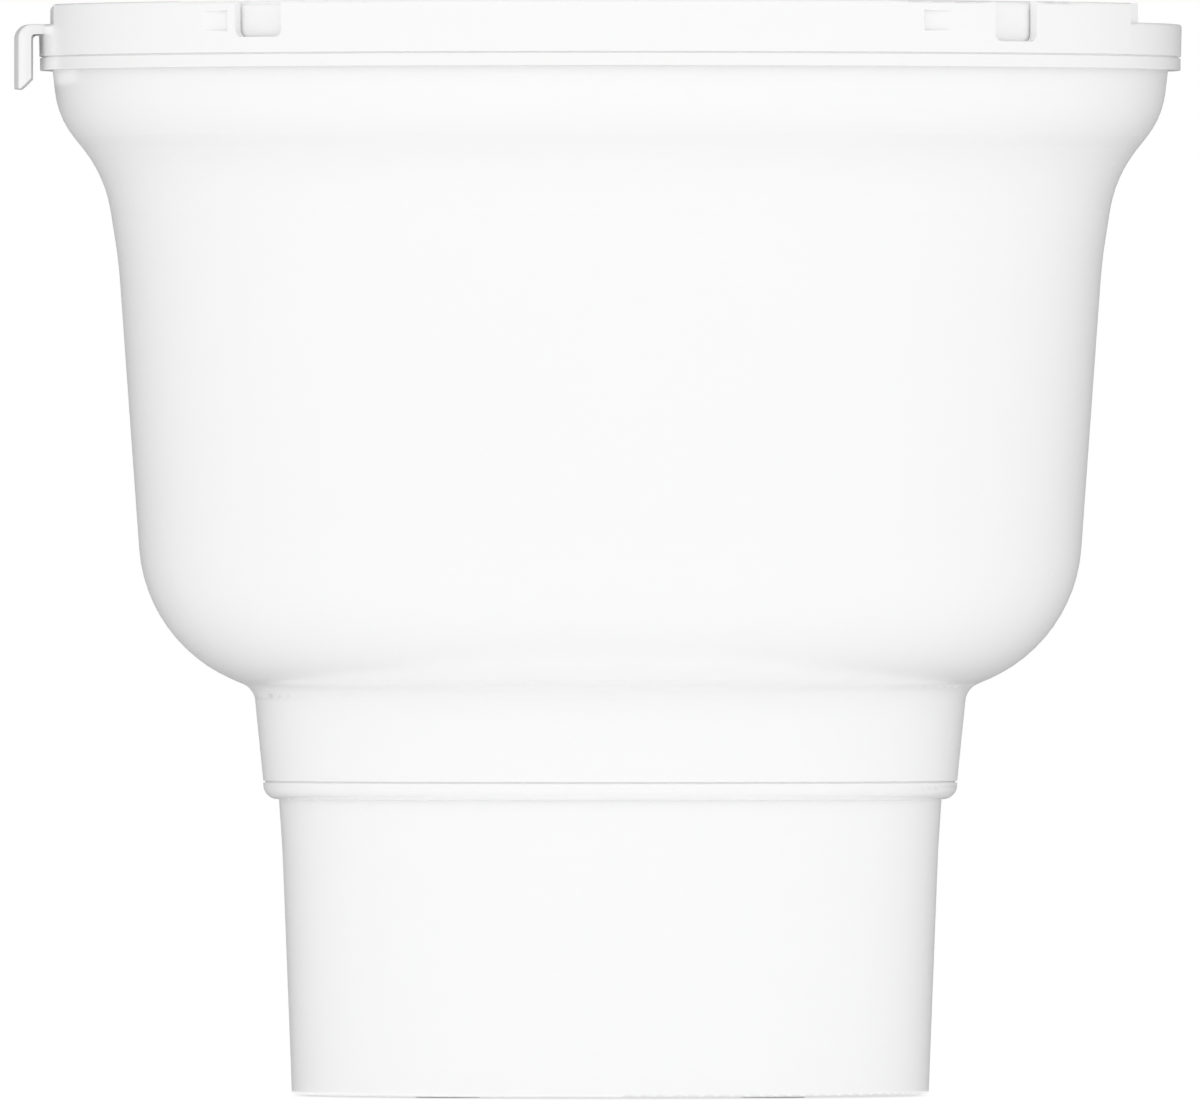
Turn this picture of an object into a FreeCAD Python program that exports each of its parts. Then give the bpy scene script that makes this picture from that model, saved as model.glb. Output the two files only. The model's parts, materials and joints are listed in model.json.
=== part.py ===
import FreeCAD, Part
import math
import os
from types import SimpleNamespace

import Sketcher

# Yogurt maker: a bell-shaped housing on a pedestal, with a drop-in pot and a lid with a flip cover.
# Millimetres, +Z up, origin on the axis at the level of the feet. -Y is the front, +X the hinge side.

SIZES = {
    # Bell-shaped housing: its neck, then each next corner of the outline by its way out, way up and round
    "wall": 2.2,
    "neck_foot_r": 60.75,
    "neck_out": 1.65,
    "neck_up": 16.45,
    "neck_round": 3.5,
    "heel_out": 18.9,
    "heel_up": 8.1,
    "heel_round": 27.0,
    "waist_out": 4.8,
    "waist_up": 66.8,
    "waist_round": 90.0,
    "flare_out": 2.35,
    "flare_up": 14.8,
    "flare_round": 23.0,
    "lip_out": 8.25,
    "lip_up": 10.3,
    "lip_round": 15.6,
    "rim_out": 0.95,
    "rim_up": 8.2,
    # Edges softened by the mould
    "small_round": 0.6,
    # Pedestal and the shadow line under the neck
    "joint_z": 54.85,
    "pedestal_lift": 0.3,
    "pedestal_wall": 2.4,
    "bead_proud": 2.75,
    "bead_height": 2.9,
    "bead_round": 2.5,
    "pedestal_top_in": 0.6,
    "pedestal_top_drop": 8.95,
    "pedestal_taper": 1.65,
    "shadow_gap": 0.35,
    "shadow_depth": 0.35,
    "flange_thick": 2.5,
    "flange_land": 6.5,
    "ledge_width": 1.8,
    "ledge_thick": 2.0,
    # Base plate, its snap tongues and the feet
    "fit_gap": 0.3,
    "plate_bottom": 0.9,
    "plate_thick": 2.0,
    "tongue_width": 10.0,
    "tongue_thick": 1.8,
    "tongue_height": 18.0,
    "stud_z": 17.7,
    "stud_hole_r": 1.5,
    "stud_clearance": 0.15,
    "vent_count": 10,
    "vent_in_r": 14.0,
    "vent_out_r": 30.0,
    "vent_width": 2.4,
    "foot_r": 6.0,
    "foot_inset": 15.75,
    "foot_pocket": 0.8,
    # Screws and the posts that take them
    "post_inset": 9.25,
    "post_r": 4.0,
    "post_rib": 2.5,
    "screw_r": 1.4,
    "screw_head_r": 2.4,
    "screw_head": 1.8,
    "screw_bite": 5.0,
    "screw_clearance": 0.05,
    "screw_hole_r": 1.7,
    # Heater stack, from the deck on its posts up to the heating plate under the pot
    "post_height": 11.15,
    "deck_thick": 2.0,
    "deck_inset": 3.25,
    "upstand_inset": 6.0,
    "upstand_wall": 2.5,
    "upstand_height": 9.2,
    "hot_plate_thick": 2.5,
    "hot_plate_lip": 2.0,
    "hot_plate_drop": 2.2,
    "element_inset": 2.5,
    "element_bore_r": 14.5,
    "element_thick": 1.3,
    "tab_inset": 19.0,
    "tab_y": 6.0,
    "tab_width": 4.8,
    "tab_thick": 0.8,
    "tab_length": 10.0,
    "tab_hole_r": 3.4,
    "insulation_inset": 1.5,
    "insulation_bore_r": 18.2,
    "insulation_thick": 3.0,
    "clamp_inset": 0.5,
    "clamp_bore_r": 8.0,
    "clamp_thick": 1.2,
    "stud_inset": 7.5,
    "clamp_stud_r": 1.5,
    "nut_height": 2.4,
    "nut_across": 5.5,
    "stud_tail": 1.2,
    # Thermostat, its strap and the thermal fuse
    "thermostat_r": 7.0,
    "thermostat_cap_r": 8.3,
    "thermostat_body": 9.0,
    "blade_length": 8.0,
    "blade_spread": 4.0,
    "strap_length": 30.0,
    "strap_width": 18.0,
    "strap_thick": 0.8,
    "strap_screw_x": 11.5,
    "strap_screw_r": 1.1,
    "strap_screw_head_r": 2.0,
    "strap_screw_head": 1.4,
    "fuse_inset": 19.0,
    "fuse_r": 2.0,
    "fuse_length": 12.0,
    "fuse_lead_r": 0.6,
    "fuse_lead": 6.0,
    "clip_thick": 0.7,
    "clip_width": 6.0,
    "clip_foot": 4.0,
    # Appliance inlet in the back of the pedestal, and the leads inside
    "inlet_z": 24.0,
    "inlet_width": 21.0,
    "inlet_height": 14.0,
    "inlet_proud": 0.5,
    "inlet_depth": 22.0,
    "inlet_set_back": 4.07,
    "inlet_flange": 2.0,
    "inlet_flange_edge": 3.0,
    "socket_lobe_r": 4.2,
    "socket_depth": 13.0,
    "pin_spread": 4.3,
    "pin_r": 1.2,
    "pin_length": 10.0,
    "pin_tail": 7.0,
    "lead_r": 1.1,
    "lead_bend": 9.0,
    "lead_run": 13.5,
    "bend_share": 0.45,
    # Drop-in pot
    "pot_gap": 1.0,
    "pot_wall": 2.0,
    "pot_corner": 22.0,
    "pot_overhang": 2.2,
    "pot_flange": 2.1,
    # Lid ring: collar, web, spigot, crown with its notches, slots, catches and pull tab
    "collar_step": 0.1,
    "collar_lean": 0.15,
    "collar_shadow": 0.4,
    "crown_height": 9.3,
    "crown_wall": 1.7,
    "web_thick": 1.6,
    "web_width": 12.6,
    "spigot_gap": 2.05,
    "spigot_wall": 1.8,
    "spigot_drop": 5.1,
    "notch_depth": 3.4,
    "notch_round": 0.5,
    "left_notch_in": 2.9,
    "right_notch_in": 9.4,
    "slot_width": 10.2,
    "slot_round": 1.4,
    "right_slot_depth": 7.0,
    "left_slot_depth": 6.3,
    "right_slot_turn": 45.1,
    "left_slot_turn": 127.75,
    "catch_drop": 1.6,
    "catch_height": 3.7,
    "catch_ramp": 10.0,
    "catch_draft": 12.0,
    "right_catch_near": 57.1,
    "right_catch_far": 53.4,
    "left_catch_near": 131.55,
    "left_catch_far": 135.25,
    "tab_reach": 4.26,
    "tab_wall": 2.1,
    "tab_arm": 1.75,
    "tab_bend": 2.45,
    "tab_drop": 11.25,
    "tab_slant": 1.8,
    "tab_span": 16.4,
    "tab_edge": 1.5,
    # Seals
    "pot_seal_depth": 0.8,
    "pot_seal_up": 0.7,
    "pot_seal_height": 2.4,
    "pot_seal_proud": 1.4,
    "cover_seal_in": 1.0,
    "cover_seal_width": 3.2,
    "cover_seal_height": 1.2,
    # Flip cover and its hinge
    "cover_gap": 0.35,
    "chord_gap": 0.5,
    "cover_wall": 1.8,
    "cover_thick": 2.0,
    "cover_crown": 0.35,
    "cover_edge": 1.0,
    "rib_in": 0.8,
    "rib_wall": 1.6,
    "hinge_inset": 14.0,
    "hinge_drop": 2.0,
    "knuckle_r": 1.9,
    "knuckle_gap": 0.4,
    "hinge_pin_r": 1.0,
    "pin_fit": 0.02,
    "pin_play": 0.15,
    "pin_half": 39.0,
    "bridge_out": 5.9,
    "hinge_half": 40.0,
    "moving_knuckle_in": 8.0,
    "moving_knuckle_out": 28.0,
    "ear_in": 6.7,
    "ear_turn": 30.03,
    "dish_inset": 22.1,
    "dish_r": 20.0,
    "dish_depth": 3.0,
}


class Size:
    """A number together with the sheet expression that gives it."""

    def __init__(self, value, text):
        self.value = value
        self.text = text

    def joined(self, other, sign, value):
        return Size(value, f"({self.text} {sign} {sized(other).text})")

    def __add__(self, other):
        return self.joined(other, "+", self.value + sized(other).value)

    def __sub__(self, other):
        return self.joined(other, "-", self.value - sized(other).value)

    def __mul__(self, other):
        return self.joined(other, "*", self.value * sized(other).value)

    def __truediv__(self, other):
        return self.joined(other, "/", self.value / sized(other).value)

    def __radd__(self, other):
        return sized(other) + self

    def __rsub__(self, other):
        return sized(other) - self

    def __rmul__(self, other):
        return sized(other) * self

    def __neg__(self):
        return sized(0) - self


def sized(number):
    """A plain number as a Size."""
    if isinstance(number, Size):
        return number
    return Size(float(number), repr(float(number)))


def sine(angle):
    angle = sized(angle)
    return Size(math.sin(math.radians(angle.value)), f"sin({angle.text})")


def cosine(angle):
    angle = sized(angle)
    return Size(math.cos(math.radians(angle.value)), f"cos({angle.text})")


def tangent(angle):
    return sine(angle) / cosine(angle)


def heading(start, end):
    """Direction, in degrees, of the line between two corners of an outline."""
    run, rise = end[0] - start[0], end[1] - start[1]
    angle = math.degrees(math.atan2(rise.value, run.value))
    return Size(angle, f"(atan2({rise.text}; {run.text}) / 1 deg)")


def new_sheet(doc):
    sheet = doc.addObject("Spreadsheet::Sheet", "Dimensions")
    for row, (alias, value) in enumerate(SIZES.items(), start=1):
        sheet.set(f"A{row}", alias)
        sheet.set(f"B{row}", str(value))
        sheet.setAlias(f"B{row}", alias)
    doc.recompute()
    named = {alias: Size(float(sheet.get(alias)), f"Dimensions.{alias}") for alias in SIZES}
    return SimpleNamespace(**named)


doc = FreeCAD.newDocument("yogurt_maker")
d = new_sheet(doc)
places = doc.addObject("App::VarSet", "Places")
pieces = {}


def follow(name, size):
    """Name a radius or a height that follows from the sheet's sizes."""
    places.addProperty("App::PropertyFloat", name)
    places.setExpression(name, size.text)
    setattr(d, name, Size(size.value, f"Places.{name}"))


# Radii and heights of the bell, each corner from the one below it
follow("neck_top_r", d.neck_foot_r + d.neck_out)
follow("heel_r", d.neck_top_r + d.heel_out)
follow("waist_r", d.heel_r + d.waist_out)
follow("flare_r", d.waist_r + d.flare_out)
follow("lip_r", d.flare_r + d.lip_out)
follow("rim_r", d.lip_r + d.rim_out)
follow("neck_top_z", d.joint_z + d.neck_up)
follow("heel_z", d.neck_top_z + d.heel_up)
follow("waist_z", d.heel_z + d.waist_up)
follow("flare_z", d.waist_z + d.flare_up)
follow("lip_z", d.flare_z + d.lip_up)
follow("rim_z", d.lip_z + d.rim_up)

# Pedestal and base, from the neck inwards and down
follow("pedestal_top_r", d.neck_foot_r - d.bead_proud)
follow("pedestal_mid_r", d.pedestal_top_r - d.pedestal_top_in)
follow("pedestal_foot_r", d.pedestal_mid_r - d.pedestal_taper)
follow("bead_under_z", d.joint_z - d.bead_height)
follow("pedestal_mid_z", d.bead_under_z - d.pedestal_top_drop)
follow("foot_circle", d.pedestal_foot_r - d.foot_inset)
follow("post_circle", d.neck_foot_r - d.post_inset)
follow("flange_bore_r", d.post_circle - d.flange_land)

# Heater stack, from the neck inwards and from the joint up
follow("deck_r", d.neck_foot_r - d.deck_inset)
follow("deck_z", d.joint_z + d.post_height)
follow("upstand_in_r", d.post_circle - d.upstand_inset)
follow("hot_plate_z", d.deck_z + d.upstand_height)
follow("element_r", d.upstand_in_r - d.element_inset)
follow("insulation_r", d.upstand_in_r - d.insulation_inset)
follow("clamp_r", d.upstand_in_r - d.clamp_inset)
follow("stud_circle", d.upstand_in_r - d.stud_inset)
follow("tab_x", d.element_r - d.tab_inset)
follow("fuse_x", d.clamp_r - d.fuse_inset)

# Pot and lid, from the bell's rim outwards and up
follow("pot_floor_z", d.hot_plate_z + d.hot_plate_thick + d.fit_gap)
follow("pot_flange_r", d.rim_r + d.pot_overhang)
follow("seat_z", d.rim_z + d.pot_flange)
follow("collar_foot_r", d.pot_flange_r + d.collar_step)
follow("collar_top_r", d.collar_foot_r + d.collar_lean)
follow("crown_in", d.collar_top_r - d.crown_wall)
follow("cover_r", d.crown_in - d.cover_gap)
follow("crown_z", d.seat_z + d.crown_height)
follow("web_top", d.seat_z + d.web_thick)
follow("spigot_r", d.rim_r - d.wall - d.pot_gap - d.pot_wall - d.spigot_gap)
follow("spigot_foot", d.seat_z - d.spigot_drop)
follow("opening_r", d.spigot_r - d.spigot_wall - d.web_width)
follow("pot_seal_z", d.spigot_foot + d.pot_seal_up)
follow("cover_seal_in_r", d.opening_r + d.cover_seal_in)
follow("rib_in_r", d.cover_seal_in_r + d.rib_in)
follow("notch_floor_z", d.crown_z - d.notch_depth)
follow("left_notch_x", d.collar_top_r - d.left_notch_in)
follow("right_notch_x", d.collar_top_r - d.right_notch_in)
follow("catch_high_z", d.crown_z - d.catch_drop)
follow("catch_low_z", d.catch_high_z - d.catch_height)
follow("tab_out_r", d.collar_top_r + d.tab_reach)
follow("tab_foot_z", d.notch_floor_z - d.tab_drop)
follow("hinge_x", d.collar_top_r - d.hinge_inset)
follow("hinge_z", d.crown_z - d.hinge_drop)
follow("bridge_x", d.hinge_x + d.knuckle_r + d.fit_gap)
follow("bridge_end_x", d.hinge_x + d.bridge_out)
follow("ear_x", d.hinge_x - d.ear_in)
follow("ear_y", d.collar_top_r * sine(d.ear_turn))
follow("dish_x", d.collar_top_r - d.dish_inset)


def keep(node, obj):
    """Name an object of the document as a finished piece."""
    obj.Label = node
    pieces[node] = obj
    return obj


# Sketches and turned bodies

class Round:
    """A rounded corner of an outline: the corner, the radius, and where the round meets its two lines."""

    def __init__(self, corner, radius, before, after):
        bend = after - before
        if bend.value > 180:
            bend = bend - 360
        if bend.value < -180:
            bend = bend + 360
        turn = bend if bend.value > 0 else -bend
        reach = radius * tangent(turn / 2)
        self.corner, self.radius = corner, radius
        self.entry = (corner[0] - reach * cosine(before), corner[1] - reach * sine(before))
        self.exit = (corner[0] + reach * cosine(after), corner[1] + reach * sine(after))

    def backwards(self):
        """The same round, met from the other end."""
        other = object.__new__(Round)
        other.corner, other.radius = self.corner, self.radius
        other.entry, other.exit = self.exit, self.entry
        return other

    def left(self):
        """Whether the outline turns left here."""
        return (flat(self.corner) - flat(self.entry)).cross(flat(self.exit) - flat(self.corner)).z > 0

    def arc(self):
        """The round as a counter-clockwise arc."""
        start, stop = (self.entry, self.exit) if self.left() else (self.exit, self.entry)
        start, stop = flat(start), flat(stop)
        chord_middle = (start + stop) / 2
        half_chord = start.distanceToPoint(stop) / 2
        rise = math.sqrt(self.radius.value ** 2 - half_chord ** 2)
        centre = chord_middle + (chord_middle - flat(self.corner)).normalize() * rise
        circle = Part.Circle(centre, FreeCAD.Vector(0, 0, 1), self.radius.value)
        first, last = ((point - centre) for point in (start, stop))
        low = math.atan2(first.y, first.x)
        high = math.atan2(last.y, last.x)
        return Part.ArcOfCircle(circle, low, high if high > low else high + 2 * math.pi)


def flat(point):
    return FreeCAD.Vector(point[0].value, point[1].value, 0)


def corner_of(item):
    return item.corner if isinstance(item, Round) else item[:2]


def place_point(sketch, geometry, end, point):
    """Hold a point of the sketch by expressions, or on an axis where a distance is 0."""
    for kind, axis, size in (("DistanceX", -2, point[0]), ("DistanceY", -1, point[1])):
        if size.value == 0:
            sketch.addConstraint(Sketcher.Constraint("PointOnObject", geometry, end, axis))
            continue
        index = sketch.addConstraint(Sketcher.Constraint(kind, geometry, end, size.value))
        sketch.setExpression(f"Constraints[{index}]", size.text)


def with_rounds(items):
    """A closed outline's items, each corner with a third value made a Round."""
    items = [item if isinstance(item, Round) else tuple(sized(value) for value in item) for item in items]
    made = []
    for index, item in enumerate(items):
        if isinstance(item, tuple) and len(item) == 3:
            before = heading(corner_of(items[index - 1]), item)
            after = heading(item, corner_of(items[(index + 1) % len(items)]))
            item = Round(item[:2], item[2], before, after)
        made.append(item)
    return made


def draw_outline(sketch, items):
    """Closed outline of lines through the items: points, and corners rounded by arcs."""
    items = with_rounds(items)
    lines = []
    for item, following in zip(items, items[1:] + items[:1]):
        start = item.exit if isinstance(item, Round) else item
        stop = following.entry if isinstance(following, Round) else following
        lines.append(sketch.addGeometry(Part.LineSegment(flat(start), flat(stop)), False))
    for index, item in enumerate(items):
        line_in, line_out = lines[index - 1], lines[index]
        if not isinstance(item, Round):
            sketch.addConstraint(Sketcher.Constraint("Coincident", line_in, 2, line_out, 1))
            place_point(sketch, line_out, 1, item)
            continue
        arc = sketch.addGeometry(item.arc(), False)
        first, last = (1, 2) if item.left() else (2, 1)
        sketch.addConstraint(Sketcher.Constraint("Coincident", line_in, 2, arc, first))
        sketch.addConstraint(Sketcher.Constraint("Coincident", line_out, 1, arc, last))
        place_point(sketch, line_in, 2, item.entry)
        place_point(sketch, line_out, 1, item.exit)
        radius = sketch.addConstraint(Sketcher.Constraint("Radius", arc, item.radius.value))
        sketch.setExpression(f"Constraints[{radius}]", item.radius.text)


def new_sketch(body, name, role):
    plane = next(item for item in body.Origin.OriginFeatures if item.Role == role)
    sketch = body.newObject("Sketcher::SketchObject", name)
    sketch.AttachmentSupport = (plane, [""])
    sketch.MapMode = "FlatFace"
    return sketch


def turned(name, corners, angle=None):
    """Body of revolution about Z from corners of (radius, height), whole or a span about the XZ plane."""
    body = doc.addObject("PartDesign::Body", name)
    sketch = new_sketch(body, f"{name}_outline", "XZ_Plane")
    draw_outline(sketch, corners)
    doc.recompute()
    turn = body.newObject("PartDesign::Revolution", f"{name}_turn")
    turn.Profile = sketch
    turn.ReferenceAxis = (sketch, ["V_Axis"])
    turn.Angle = 360.0
    if angle is not None:
        turn.Midplane = True
        turn.setExpression("Angle", angle.text)
    sketch.Visibility = False
    doc.recompute()
    return body


def turned_at(name, corners, x, y):
    """Body of revolution about an upright axis at x, y."""
    body = turned(name, corners)
    move(body, x, y, 0)
    return body


# Primitives and booleans

def bind(obj, **values):
    for prop, value in values.items():
        obj.setExpression(prop, sized(value).text)


def move(obj, x, y, z):
    for axis, value in zip("xyz", (x, y, z)):
        obj.setExpression(f"Placement.Base.{axis}", sized(value).text)


def block(name, x, y, z, turn=0):
    """Box between pairs of x, y and z values, turned about the Z axis."""
    obj = doc.addObject("Part::Box", name)
    bind(obj, Length=sized(x[1]) - x[0], Width=sized(y[1]) - y[0], Height=sized(z[1]) - z[0])
    turn = sized(turn)
    spin = FreeCAD.Rotation(FreeCAD.Vector(0, 0, 1), turn.value)
    obj.Placement = FreeCAD.Placement(FreeCAD.Vector(0, 0, 0), spin)
    across, along = cosine(turn), sine(turn)
    move(obj, x[0] * across - y[0] * along, x[0] * along + y[0] * across, z[0])
    return obj


UPRIGHT = FreeCAD.Rotation()
ALONG_X = FreeCAD.Rotation(FreeCAD.Vector(0, 1, 0), 90)
ALONG_Y = FreeCAD.Rotation(FreeCAD.Vector(1, 0, 0), -90)
HALF_TURN = FreeCAD.Rotation(FreeCAD.Vector(0, 0, 1), 180)


def rod(name, radius, length, x, y, z, lie=UPRIGHT):
    """Cylinder from the point x, y, z, upright or along +X or +Y."""
    obj = doc.addObject("Part::Cylinder", name)
    bind(obj, Radius=radius, Height=length)
    obj.Placement = FreeCAD.Placement(FreeCAD.Vector(0, 0, 0), lie)
    move(obj, x, y, z)
    return obj


def fused(name, *shapes):
    obj = doc.addObject("Part::MultiFuse", name)
    obj.Shapes = list(shapes)
    obj.Refine = True
    return obj


def common(name, first, second):
    obj = doc.addObject("Part::MultiCommon", name)
    obj.Shapes = [first, second]
    return obj


def cut(name, base, *tools):
    tool = tools[0] if len(tools) == 1 else fused(f"{name}_tools", *tools)
    obj = doc.addObject("Part::Cut", name)
    obj.Base = base
    obj.Tool = tool
    return obj


def group(name, members):
    """Several separate solids kept as one piece."""
    obj = doc.addObject("Part::Compound", name)
    obj.Links = list(members)
    return obj


def on_circle(radius, turn):
    return radius * cosine(turn), radius * sine(turn)


def evenly(count, first):
    """Turns of equal steps round the axis."""
    return [first + 360 // count * index for index in range(count)]


QUARTERS = evenly(4, 45)
THIRDS = evenly(3, 90)


# Outlines shared by the housing and the pot

bell = [
    (d.neck_foot_r, d.joint_z + d.shadow_gap),
    (d.neck_top_r, d.neck_top_z, d.neck_round),
    (d.heel_r, d.heel_z, d.heel_round),
    (d.waist_r, d.waist_z, d.waist_round),
    (d.flare_r, d.flare_z, d.flare_round),
    (d.lip_r, d.lip_z, d.lip_round),
    (d.rim_r, d.rim_z),
]
bell_headings = [heading(a, b) for a, b in zip(bell, bell[1:])]


def bell_wall(depth):
    """The bell's outline moved in by a depth: level ends, mitred corners, rounds that keep their centres."""
    depth = sized(depth)
    first, last = bell[0], bell[-1]
    moved = [(first[0] - depth / sine(bell_headings[0]), first[1])]
    for corner, before, after in zip(bell[1:], bell_headings, bell_headings[1:]):
        middle = (before + after) / 2
        reach = depth / cosine((after - before) / 2)
        hollow = before.value > after.value
        radius = corner[2] + depth if hollow else corner[2] - depth
        place = (corner[0] - reach * sine(middle), corner[1] + reach * cosine(middle))
        moved.append(Round(place, radius, before, after))
    moved.append((last[0] - depth / sine(bell_headings[-1]), last[1]))
    return moved


def downwards(wall):
    """An outline taken from its top to its foot."""
    return [item.backwards() if isinstance(item, Round) else item for item in wall[::-1]]


# Housing, pedestal and base

def outer_housing():
    """Moulded bell and neck, with four screw posts ribbed to the neck wall."""
    inside = bell_wall(d.wall)
    foot = d.neck_foot_r - d.shadow_depth
    step = [(inside[0][0], d.joint_z), (foot, d.joint_z), (foot, d.joint_z + d.shadow_gap)]
    shell = turned("housing_shell", step + bell_wall(0) + downwards(inside))
    posts, pilots = [], []
    for turn in QUARTERS:
        x, y = on_circle(d.post_circle, turn)
        posts.append(rod(f"post_{turn}", d.post_r, d.deck_z - d.joint_z, x, y, d.joint_z))
        radial = (d.post_circle, d.neck_foot_r - d.wall / 2)
        half = d.post_rib / 2
        posts.append(block(f"post_rib_{turn}", radial, (-half, half), (d.joint_z, d.deck_z), turn))
        pilot_r = d.screw_r + d.screw_clearance
        pilots.append(rod(f"pilot_{turn}", pilot_r, d.deck_z - d.joint_z, x, y, d.joint_z))
    keep("outer_housing", cut("housing", fused("housing_blank", shell, *posts), *pilots))


def pedestal_inside(z):
    """Inner radius of the pedestal's wall at a height below its middle."""
    slope = (d.pedestal_mid_r - d.pedestal_foot_r) / (d.pedestal_mid_z - d.pedestal_lift)
    return d.pedestal_foot_r - d.pedestal_wall + slope * (z - d.pedestal_lift)


follow("inlet_flange_y", pedestal_inside(d.inlet_z) - d.inlet_set_back)


def pedestal():
    """Tapered stand with a rounded bead and a flange that the housing is screwed to."""
    flange_under = d.joint_z - d.flange_thick
    ledge_z = d.plate_bottom + d.plate_thick
    ledge_r = pedestal_inside(ledge_z) - d.ledge_width
    ledge_top = ledge_z + d.ledge_thick
    shell = turned("pedestal_shell", [
        (d.pedestal_foot_r, d.pedestal_lift, d.small_round),
        (d.pedestal_mid_r, d.pedestal_mid_z),
        (d.pedestal_top_r, d.bead_under_z),
        (d.neck_foot_r, d.bead_under_z, d.bead_round),
        (d.neck_foot_r, d.joint_z),
        (d.flange_bore_r, d.joint_z),
        (d.flange_bore_r, flange_under),
        (d.pedestal_top_r - d.pedestal_wall, flange_under),
        (d.pedestal_mid_r - d.pedestal_wall, d.pedestal_mid_z),
        (pedestal_inside(ledge_top), ledge_top),
        (ledge_r, ledge_top),
        (ledge_r, ledge_z),
        (pedestal_inside(ledge_z), ledge_z),
        (pedestal_inside(d.pedestal_lift), d.pedestal_lift),
    ])
    tools = []
    for turn in QUARTERS:
        x, y = on_circle(d.post_circle, turn)
        low = flange_under - d.flange_thick / 2
        tools.append(rod(f"flange_hole_{turn}", d.screw_hole_r, d.flange_thick * 2, x, y, low))
    reach = d.pedestal_top_r
    tools.append(rod("snap_holes", d.stud_hole_r, reach * 2, -reach, 0, d.stud_z, ALONG_X))
    half = d.inlet_width / 2 + d.fit_gap
    rise = d.inlet_height / 2 + d.fit_gap
    tools.append(block("inlet_window", (-half, half), (d.inlet_flange_y, reach + d.inlet_proud),
                       (d.inlet_z - rise, d.inlet_z + rise)))
    keep("pedestal", cut("pedestal_body", shell, *tools))


def base_plate():
    """Vented floor with two sprung tongues, whose studs snap into the pedestal's sides."""
    top = d.plate_bottom + d.plate_thick
    radius = pedestal_inside(d.plate_bottom) - d.fit_gap
    tongue_x = pedestal_inside(top) - d.ledge_width - d.fit_gap
    disc = rod("plate_disc", radius, d.plate_thick, 0, 0, d.plate_bottom)
    half = d.tongue_width / 2
    added = []
    for side in (-1, 1):
        name = "right" if side > 0 else "left"
        near, far = tongue_x - d.tongue_thick, tongue_x
        span = (near, far) if side > 0 else (-far, -near)
        high = (top - d.plate_thick / 2, top + d.tongue_height)
        added.append(block(f"tongue_{name}", span, (-half, half), high))
        length = pedestal_inside(d.stud_z) + d.pedestal_wall - d.fit_gap - near
        start = near if side > 0 else -near - length
        stud_r = d.stud_hole_r - d.stud_clearance
        added.append(rod(f"stud_{name}", stud_r, length, start, 0, d.stud_z, ALONG_X))
    tools = []
    for turn in QUARTERS:
        x, y = on_circle(d.foot_circle, turn)
        pocket_r = d.foot_r + d.stud_clearance
        tools.append(rod(f"foot_pocket_{turn}", pocket_r, d.foot_pocket, x, y, d.plate_bottom))
    count = int(d.vent_count.value)
    half = d.vent_width / 2
    for index in range(count):
        turn = 360.0 * index / count
        radial = (d.vent_in_r, d.vent_out_r)
        tools.append(block(f"vent_{index}", radial, (-half, half), (d.plate_bottom, top), turn))
    keep("base_plate", cut("plate", fused("plate_blank", disc, *added), *tools))


def rubber_feet():
    """Four round pads in the base plate's pockets."""
    top = d.plate_bottom + d.foot_pocket
    feet = []
    for turn in QUARTERS:
        corners = [(0, 0), (d.foot_r, 0, d.small_round), (d.foot_r, top), (0, top)]
        feet.append(turned_at(f"foot_{turn}", corners, *on_circle(d.foot_circle, turn)))
    keep("rubber_feet", group("feet", feet))


def screw_outline(seat, down):
    """Pan-head screw: its head stands on seat, and its shank runs up, or down where down is true."""
    way = -1 if down else 1
    grip = d.deck_thick if down else d.flange_thick
    head = seat - d.screw_head * way
    tip = seat + (grip + d.screw_bite) * way
    point = tip - d.screw_r * way
    return [(0, head), (d.screw_head_r, head, d.screw_head / 2), (d.screw_head_r, seat), (d.screw_r, seat),
            (d.screw_r, point), (d.screw_r / 2, tip), (0, tip)]


def screws(node, seat, down):
    """Four screws on the circle of the housing's posts."""
    made = []
    for turn in QUARTERS:
        x, y = on_circle(d.post_circle, turn)
        made.append(turned_at(f"{node}_{turn}", screw_outline(seat, down), x, y))
    keep(node, group(f"{node}_group", made))


# Heater stack

clamp_top = d.hot_plate_z - d.element_thick - d.insulation_thick
clamp_under = clamp_top - d.clamp_thick
upstand_out = d.upstand_in_r + d.upstand_wall


def heater_deck():
    """Heat-proof ring on the housing's posts; its upstand carries the heating plate."""
    top = d.deck_z + d.deck_thick
    ring = turned("deck_ring", [
        (d.upstand_in_r, d.deck_z), (d.deck_r, d.deck_z), (d.deck_r, top), (upstand_out, top),
        (upstand_out, d.hot_plate_z), (d.upstand_in_r, d.hot_plate_z)])
    holes = []
    for turn in QUARTERS:
        x, y = on_circle(d.post_circle, turn)
        holes.append(rod(f"deck_hole_{turn}", d.screw_hole_r, d.deck_thick, x, y, d.deck_z))
    keep("heater_deck", cut("deck", ring, *holes))


def heating_plate():
    """Aluminium disc with a lip that locates it on the deck's upstand."""
    lip_in = upstand_out + d.fit_gap
    lip_out = lip_in + d.hot_plate_lip
    under = d.hot_plate_z - d.hot_plate_drop
    top = d.hot_plate_z + d.hot_plate_thick
    keep("heating_plate", turned("hot_plate", [
        (0, d.hot_plate_z), (lip_in, d.hot_plate_z), (lip_in, under), (lip_out, under),
        (lip_out, top, d.small_round), (0, top)]))


def stud_holes(name, low, high):
    holes = []
    for turn in THIRDS:
        x, y = on_circle(d.stud_circle, turn)
        holes.append(rod(f"{name}_{turn}", d.clamp_stud_r + d.stud_clearance, high - low, x, y, low))
    return holes


def tab_holes(name, low, high):
    return [rod(f"{name}_{side}", d.tab_hole_r, high - low, d.tab_x, d.tab_y * side, low) for side in (-1, 1)]


def washer(name, bore, radius, low, high):
    return turned(name, [(bore, low), (radius, low), (radius, high), (bore, high)])


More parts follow.
